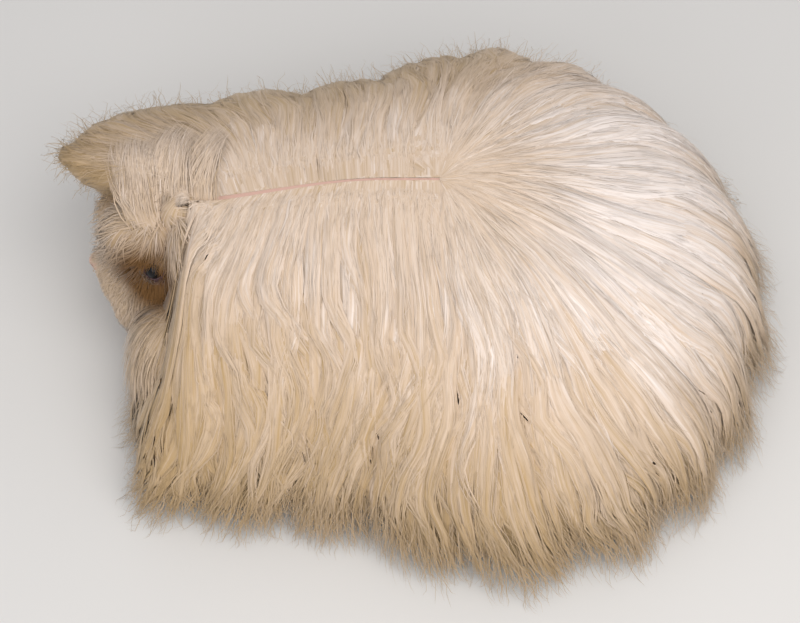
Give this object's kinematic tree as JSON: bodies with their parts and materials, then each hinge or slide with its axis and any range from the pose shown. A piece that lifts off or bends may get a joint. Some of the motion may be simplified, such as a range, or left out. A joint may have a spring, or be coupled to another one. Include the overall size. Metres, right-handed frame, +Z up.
{
  "type": "guinea pig",
  "caption": "Life-size still model of a standing long-haired cream guinea pig, its coat parted along the spine and hanging to the floor.",
  "frame": {"origin": "floor level, in the middle of the coat's plan", "axes": "the head faces -X, the animal's left side is -Y, +Z is up"},
  "size_m": [0.322, 0.2784, 0.1082],
  "materials": {
    "coat": "matte",
    "face_fur": "matte",
    "skin": "matte",
    "nose": "satin",
    "eye": "gloss",
    "claw": "satin"
  },
  "bodies": {
    "root": {"head": "face_fur", "nose": "nose", "neck": "skin", "chest": "skin", "barrel": "skin", "hindquarters": "skin", "eye_left": "eye", "ear_left": "skin", "foreleg_left": "skin", "hindleg_left": "skin", "forefoot_left": "skin", "hindfoot_left": "skin", "claw_fore_left_1": "claw", "claw_fore_left_2": "claw", "claw_fore_left_3": "claw", "claw_fore_left_4": "claw", "claw_hind_left_1": "claw", "claw_hind_left_2": "claw", "claw_hind_left_3": "claw", "eye_right": "eye", "ear_right": "skin", "foreleg_right": "skin", "hindleg_right": "skin", "forefoot_right": "skin", "hindfoot_right": "skin", "claw_fore_right_1": "claw", "claw_fore_right_2": "claw", "claw_fore_right_3": "claw", "claw_fore_right_4": "claw", "claw_hind_right_1": "claw", "claw_hind_right_2": "claw", "claw_hind_right_3": "claw", "rear_sweep": "coat", "mane_left": "coat", "mane_right": "coat", "side_sweep_left": "coat", "side_sweep_right": "coat", "forelock": "coat"}
  },
  "joints": []
}
